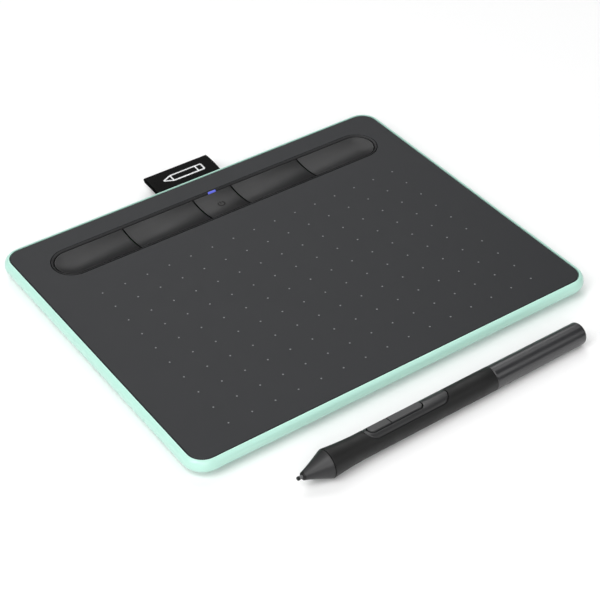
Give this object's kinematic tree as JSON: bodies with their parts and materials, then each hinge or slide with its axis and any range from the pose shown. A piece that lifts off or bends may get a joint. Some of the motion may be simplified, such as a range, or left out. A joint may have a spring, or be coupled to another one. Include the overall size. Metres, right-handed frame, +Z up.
{
  "type": "pen drawing tablet",
  "caption": "Slim pen drawing tablet with a dotted drawing panel, a scooped key strip, a woven pen loop and a pen with two side buttons.",
  "frame": {"origin": "on the table, under the middle of the whole set (tablet, pen loop and pen)", "axes": "+Z up, +X along the tablet's long side, +Y from the pen towards the key strip"},
  "size_m": [0.2, 0.2042, 0.0122],
  "materials": {
    "case_mint": "satin moulded plastic, pale mint green",
    "top_panel": "fine matt texture, charcoal",
    "key_plastic": "satin, near black",
    "trim_plastic": "satin, black",
    "foot_rubber": "matt",
    "bare_steel": "plain bright",
    "light_lens": "clear lens, lit blue",
    "circuit_board": "green lacquer",
    "chip_black": "moulded",
    "battery_pouch": "soft foil",
    "copper": "bare",
    "lead_sleeve": "matt",
    "woven_ribbon": "dense black weave",
    "grip_rubber": "soft matt",
    "barrel_satin": "satin, dark grey",
    "nib_plastic": "worn matt"
  },
  "bodies": {
    "tablet": {"bottom_case": "case_mint", "top_cover": "top_panel", "key_bezel": "trim_plastic", "loop_anchor": "trim_plastic", "battery_connector": "trim_plastic", "rubber_foot_1": "foot_rubber", "rubber_foot_2": "foot_rubber", "rubber_foot_3": "foot_rubber", "rubber_foot_4": "foot_rubber", "usb_socket": "bare_steel", "radio_module": "bare_steel", "shield_plate": "bare_steel", "case_screw_1": "bare_steel", "case_screw_2": "bare_steel", "case_screw_3": "bare_steel", "case_screw_4": "bare_steel", "status_lens": "light_lens", "status_lamp": "light_lens", "main_board": "circuit_board", "sensor_board": "circuit_board", "controller_chip": "chip_black", "key_switch_1": "chip_black", "key_switch_2": "chip_black", "key_switch_3": "chip_black", "key_switch_4": "chip_black", "key_switch_5": "chip_black", "battery": "battery_pouch", "sensor_flex": "copper", "battery_lead": "lead_sleeve", "pen_loop": "woven_ribbon"},
    "express_key_1": {"express_key_1": "key_plastic"},
    "express_key_2": {"express_key_2": "key_plastic"},
    "express_key_3": {"express_key_3": "key_plastic"},
    "express_key_4": {"express_key_4": "key_plastic"},
    "power_key": {"power_key": "key_plastic"},
    "pen": {"nose_cone": "barrel_satin", "antenna_coil": "copper", "pressure_sensor": "bare_steel", "core_tube": "trim_plastic", "pen_board": "circuit_board", "grip_sleeve": "grip_rubber", "switch_plate": "trim_plastic", "switch_front_contact": "bare_steel", "switch_rear_contact": "bare_steel", "spare_nib_holder": "trim_plastic", "spare_nib_1": "nib_plastic", "spare_nib_2": "nib_plastic", "spare_nib_3": "nib_plastic"},
    "nib": {"nib": "nib_plastic", "nib_carrier": "trim_plastic"},
    "switch_front": {"switch_front": "key_plastic"},
    "switch_rear": {"switch_rear": "key_plastic"},
    "rear_barrel": {"rear_barrel": "barrel_satin"}
  },
  "joints": [
    {"name": "express_key_1_press", "type": "slide", "parent": "tablet", "child": "express_key_1", "axis": [0, 0, -1], "range_m": [0, 0.0004], "stiffness_N_per_m": 1000},
    {"name": "express_key_2_press", "type": "slide", "parent": "tablet", "child": "express_key_2", "axis": [0, 0, -1], "range_m": [0, 0.0004], "stiffness_N_per_m": 1000},
    {"name": "express_key_3_press", "type": "slide", "parent": "tablet", "child": "express_key_3", "axis": [0, 0, -1], "range_m": [0, 0.0004], "stiffness_N_per_m": 1000},
    {"name": "express_key_4_press", "type": "slide", "parent": "tablet", "child": "express_key_4", "axis": [0, 0, -1], "range_m": [0, 0.0004], "stiffness_N_per_m": 1000},
    {"name": "power_key_press", "type": "slide", "parent": "tablet", "child": "power_key", "axis": [0, 0, -1], "range_m": [0, 0.0004], "stiffness_N_per_m": 1000},
    {"name": "pen_lift", "type": "slide", "parent": "tablet", "child": "pen", "axis": [0, 0, 1], "range_m": [0, 0.06]},
    {"name": "nib_press", "type": "slide", "parent": "pen", "child": "nib", "axis": [0.9998, 0.019, -0.0092], "range_m": [0, 0.0004], "stiffness_N_per_m": 1000},
    {"name": "switch_front_press", "type": "slide", "parent": "pen", "child": "switch_front", "axis": [-0.0054, -0.1909, -0.9816], "range_m": [0, 0.0003], "stiffness_N_per_m": 1000},
    {"name": "switch_rear_press", "type": "slide", "parent": "pen", "child": "switch_rear", "axis": [-0.0054, -0.1909, -0.9816], "range_m": [0, 0.0003], "stiffness_N_per_m": 1000},
    {"name": "rear_barrel_pull", "type": "slide", "parent": "pen", "child": "rear_barrel", "axis": [0.9998, 0.019, -0.0092], "range_m": [0, 0.04]}
  ]
}
